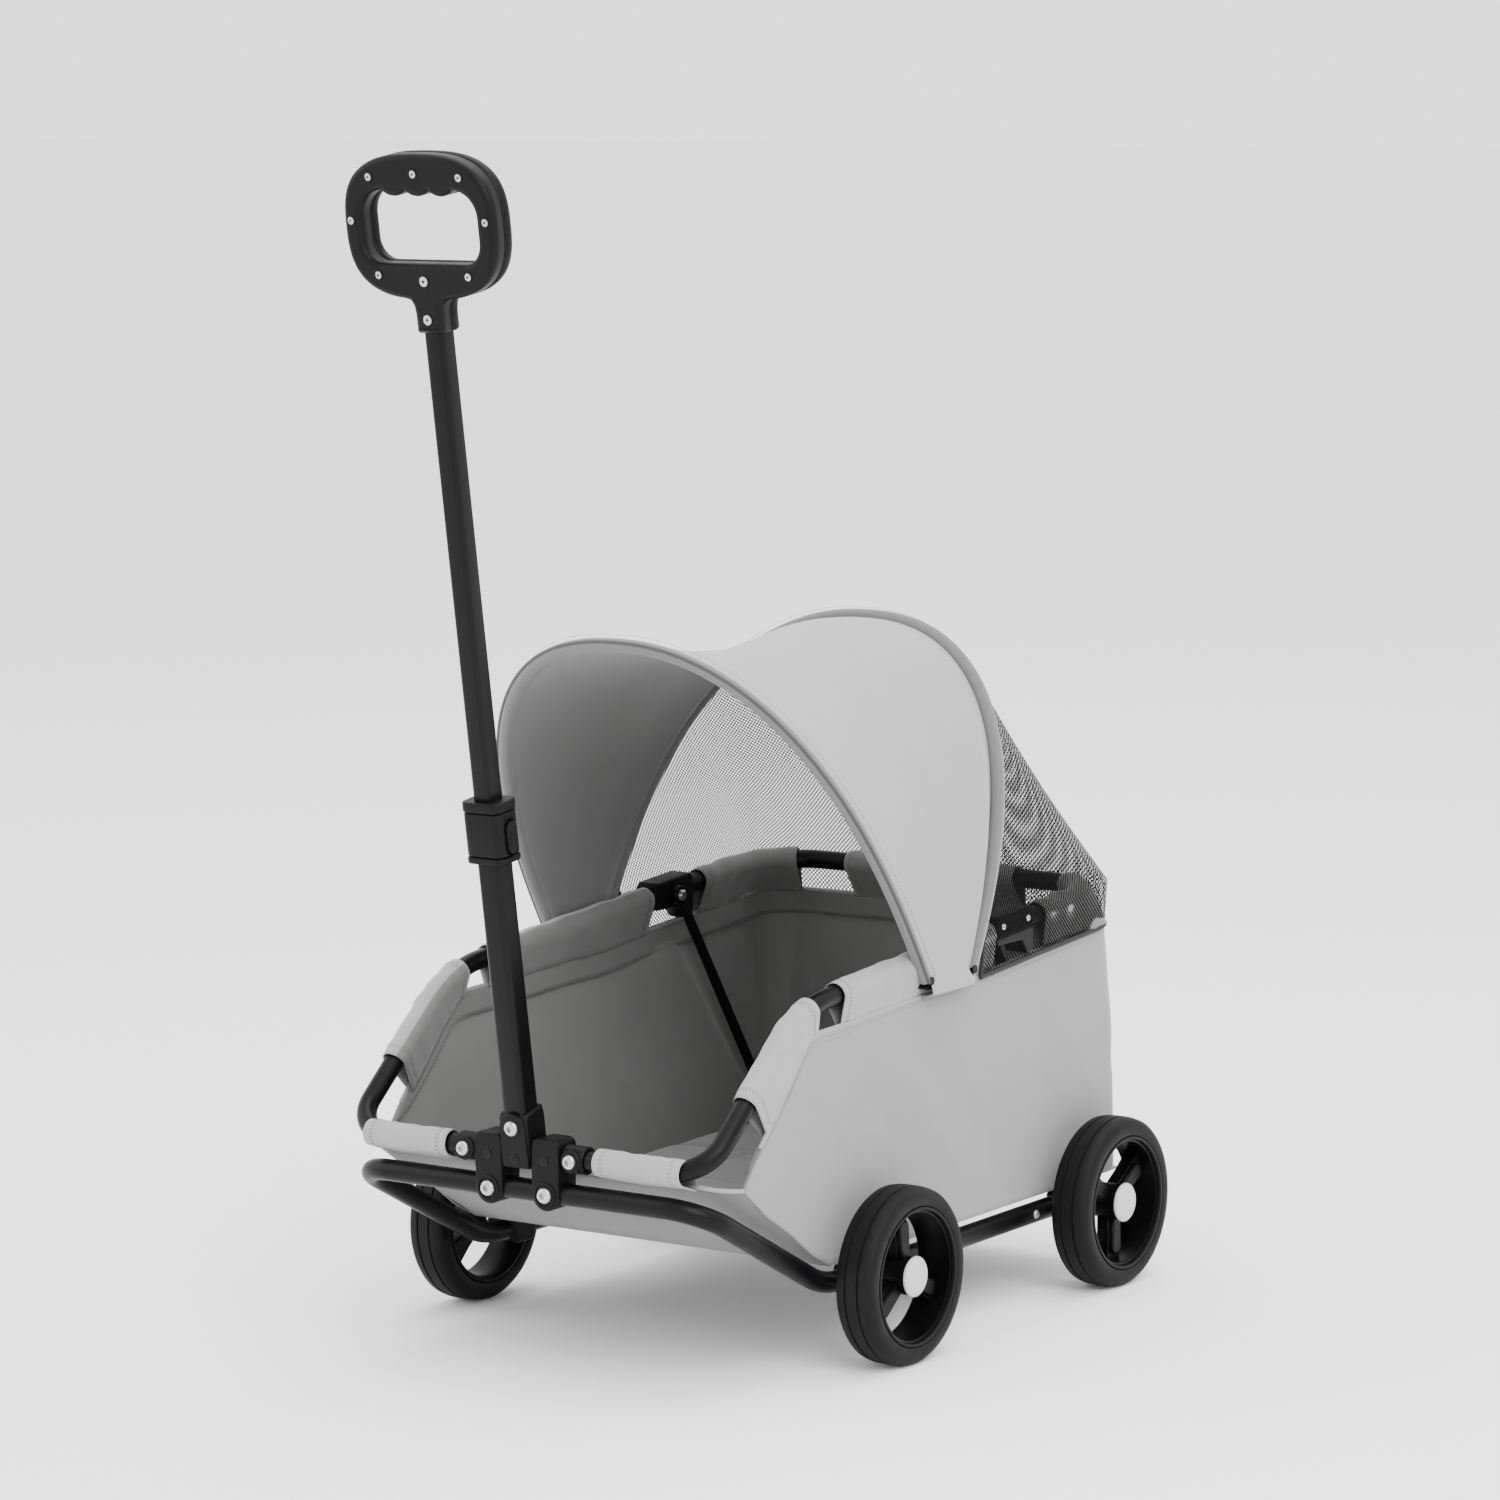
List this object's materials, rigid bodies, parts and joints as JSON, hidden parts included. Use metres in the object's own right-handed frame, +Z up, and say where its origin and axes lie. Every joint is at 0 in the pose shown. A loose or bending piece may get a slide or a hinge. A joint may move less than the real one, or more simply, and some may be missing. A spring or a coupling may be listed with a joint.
{
  "type": "pet stroller",
  "caption": "Pull-along pet stroller with a folding tube frame, telescoping ring-grip pole, cloth basket, bowed canopy and mesh rear screen.",
  "frame": {"origin": "middle of the object's bounding box on the ground", "axes": "+Z up; the pull pole and the open front face -Y, the mesh rear faces +Y, +X is to the object's left-hand side as it is pulled"},
  "size_m": [0.4484, 0.7146, 0.9441],
  "materials": {
    "black_tube": "satin black powder coat on round and rounded-square tube",
    "black_steel": "satin black paint on flat bar",
    "black_plastic": "fine-grained black moulding",
    "bolt_steel": "bright zinc-plated steel",
    "tyre_rubber": "matt black soft tyre",
    "hub_cap_grey": "pale grey moulding",
    "basket_cloth": "mid-grey coated plain weave",
    "canopy_cloth": "light grey coated plain weave",
    "lining_cloth": "darker grey lining",
    "mesh_cloth": "black net"
  },
  "bodies": {
    "chassis": {"lower_frame": "black_tube", "hub_bracket_left": "black_plastic", "hub_bracket_right": "black_plastic", "hub_bolt_left": "bolt_steel", "hub_bolt_right": "bolt_steel", "stay_foot_left": "black_plastic", "stay_foot_right": "black_plastic", "stay_foot_pin_left": "bolt_steel", "stay_foot_pin_right": "bolt_steel", "side_panel_left": "basket_cloth", "side_panel_right": "basket_cloth", "wheel_bracket_front_left": "black_plastic", "wheel_bracket_front_right": "black_plastic", "wheel_bracket_rear_left": "black_plastic", "wheel_bracket_rear_right": "black_plastic", "axle_front_left": "bolt_steel", "axle_front_right": "bolt_steel", "axle_rear_left": "bolt_steel", "axle_rear_right": "bolt_steel", "front_panel": "lining_cloth", "floor_panel": "basket_cloth", "rear_panel": "basket_cloth", "floor_mat": "lining_cloth"},
    "upper_frame": {"upper_frame": "black_tube", "hub_collar_left": "black_plastic", "hub_collar_right": "black_plastic", "collar_bolt_left": "bolt_steel", "collar_bolt_right": "bolt_steel", "rail_bracket_left": "black_plastic", "rail_bracket_right": "black_plastic", "stay_stud_left": "bolt_steel", "stay_stud_right": "bolt_steel", "bow_bracket_left": "black_plastic", "bow_bracket_right": "black_plastic", "rear_bow": "black_tube", "canopy_cover": "canopy_cloth", "mesh_screen": "mesh_cloth"},
    "canopy_front": {"front_bow": "black_tube"},
    "stay_left": {"stay_left": "black_steel"},
    "stay_right": {"stay_right": "black_steel"},
    "pole": {"pole_knuckle": "black_plastic", "pole_bolt": "bolt_steel", "outer_tube": "black_tube", "clamp_collar": "black_plastic"},
    "latch": {"latch_button": "black_plastic"},
    "handle": {"inner_tube": "black_tube", "grip_front": "black_plastic", "grip_rear": "black_plastic"},
    "wheel_front_left": {"tyre_front_left": "tyre_rubber", "rim_front_left": "black_plastic", "hub_cap_front_left": "hub_cap_grey"},
    "wheel_front_right": {"tyre_front_right": "tyre_rubber", "rim_front_right": "black_plastic", "hub_cap_front_right": "hub_cap_grey"},
    "wheel_rear_left": {"tyre_rear_left": "tyre_rubber", "rim_rear_left": "black_plastic", "hub_cap_rear_left": "hub_cap_grey"},
    "wheel_rear_right": {"tyre_rear_right": "tyre_rubber", "rim_rear_right": "black_plastic", "hub_cap_rear_right": "hub_cap_grey"}
  },
  "joints": [
    {"name": "frame_fold", "type": "hinge", "parent": "chassis", "child": "upper_frame", "pos_m": [0, -0.2378, 0.18], "axis": [1, 0, 0], "range_deg": [-18, 0], "deforming": ["side_panel_left", "side_panel_right", "rear_panel", "front_panel"]},
    {"name": "canopy_fold", "type": "hinge", "parent": "upper_frame", "child": "canopy_front", "pos_m": [0, 0.0472, 0.2865], "axis": [1, 0, 0], "range_deg": [-52, 0], "deforming": ["canopy_cover"]},
    {"name": "handle_tilt", "type": "hinge", "parent": "chassis", "child": "pole", "pos_m": [0, -0.2378, 0.18], "axis": [1, 0, 0], "range_deg": [-18, 82]},
    {"name": "handle_slide", "type": "slide", "parent": "pole", "child": "handle", "axis": [0, -0.1392, 0.9903], "range_m": [-0.2, 0]},
    {"name": "latch_press", "type": "slide", "parent": "pole", "child": "latch", "axis": [-1, 0, 0], "range_m": [0, 0.0024], "stiffness_N_per_m": 800},
    {"name": "stay_left_fold", "type": "hinge", "parent": "chassis", "child": "stay_left", "pos_m": [-0.152, 0.3139, 0.1], "axis": [1, 0, 0], "range_deg": [0, 58]},
    {"name": "stay_right_fold", "type": "hinge", "parent": "chassis", "child": "stay_right", "pos_m": [0.152, 0.3139, 0.1], "axis": [1, 0, 0], "range_deg": [0, 58]},
    {"name": "wheel_front_left_spin", "type": "hinge", "parent": "chassis", "child": "wheel_front_left", "pos_m": [-0.207, -0.0328, 0.07], "axis": [1, 0, 0], "continuous": true},
    {"name": "wheel_front_right_spin", "type": "hinge", "parent": "chassis", "child": "wheel_front_right", "pos_m": [0.207, -0.0328, 0.07], "axis": [1, 0, 0], "continuous": true},
    {"name": "wheel_rear_left_spin", "type": "hinge", "parent": "chassis", "child": "wheel_rear_left", "pos_m": [-0.207, 0.2827, 0.07], "axis": [1, 0, 0], "continuous": true},
    {"name": "wheel_rear_right_spin", "type": "hinge", "parent": "chassis", "child": "wheel_rear_right", "pos_m": [0.207, 0.2827, 0.07], "axis": [1, 0, 0], "continuous": true}
  ],
  "couplings": [
    {"joint": "stay_left_fold", "follows": "frame_fold", "ratio": -3.2},
    {"joint": "stay_right_fold", "follows": "frame_fold", "ratio": -3.2}
  ]
}
